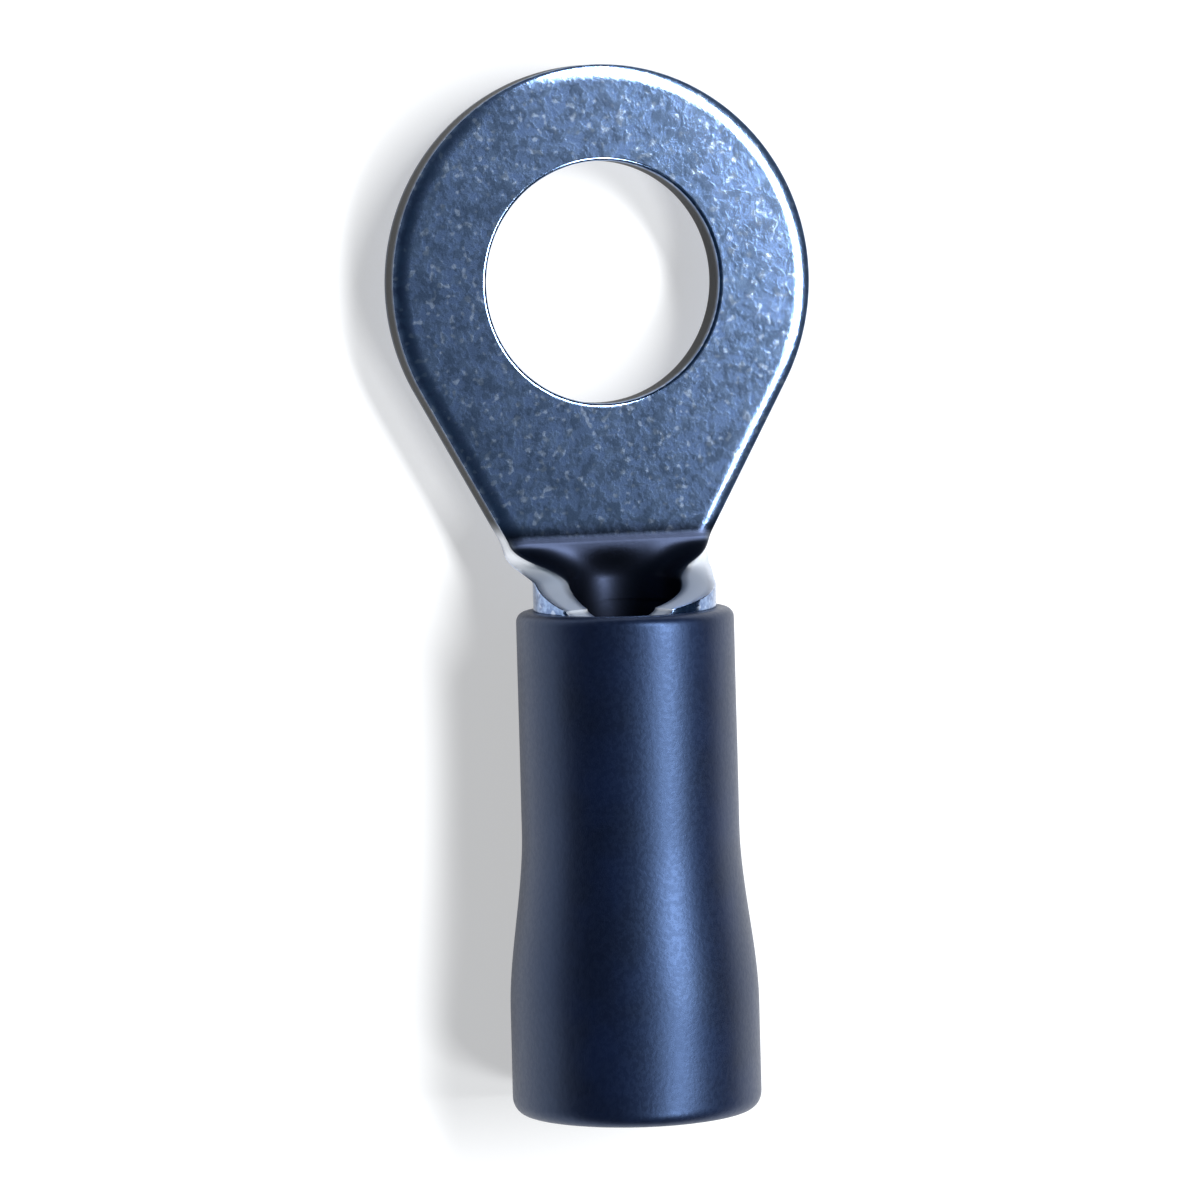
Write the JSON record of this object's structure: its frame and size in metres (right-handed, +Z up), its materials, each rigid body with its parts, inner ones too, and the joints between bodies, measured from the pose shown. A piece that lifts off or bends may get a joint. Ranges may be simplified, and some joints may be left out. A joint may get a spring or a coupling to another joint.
{
  "type": "ring terminal",
  "caption": "Insulated ring terminal: a flat plated ring tongue whose neck rolls into a wire barrel, inside a flared dark vinyl sleeve.",
  "frame": {"origin": "centre of the stud hole on the tongue's underside", "axes": "+Z up through the stud hole, +Y from the hole towards the tip of the ring with the barrel and sleeve running along -Y, +X across the tongue"},
  "size_m": [0.0094, 0.0228, 0.0055],
  "materials": {
    "plated_copper": "satin bright tin plating with fine tumbling marks",
    "vinyl": "satin, very dark blue"
  },
  "bodies": {
    "root": {"terminal_body": "plated_copper", "insulating_sleeve": "vinyl"}
  },
  "joints": []
}
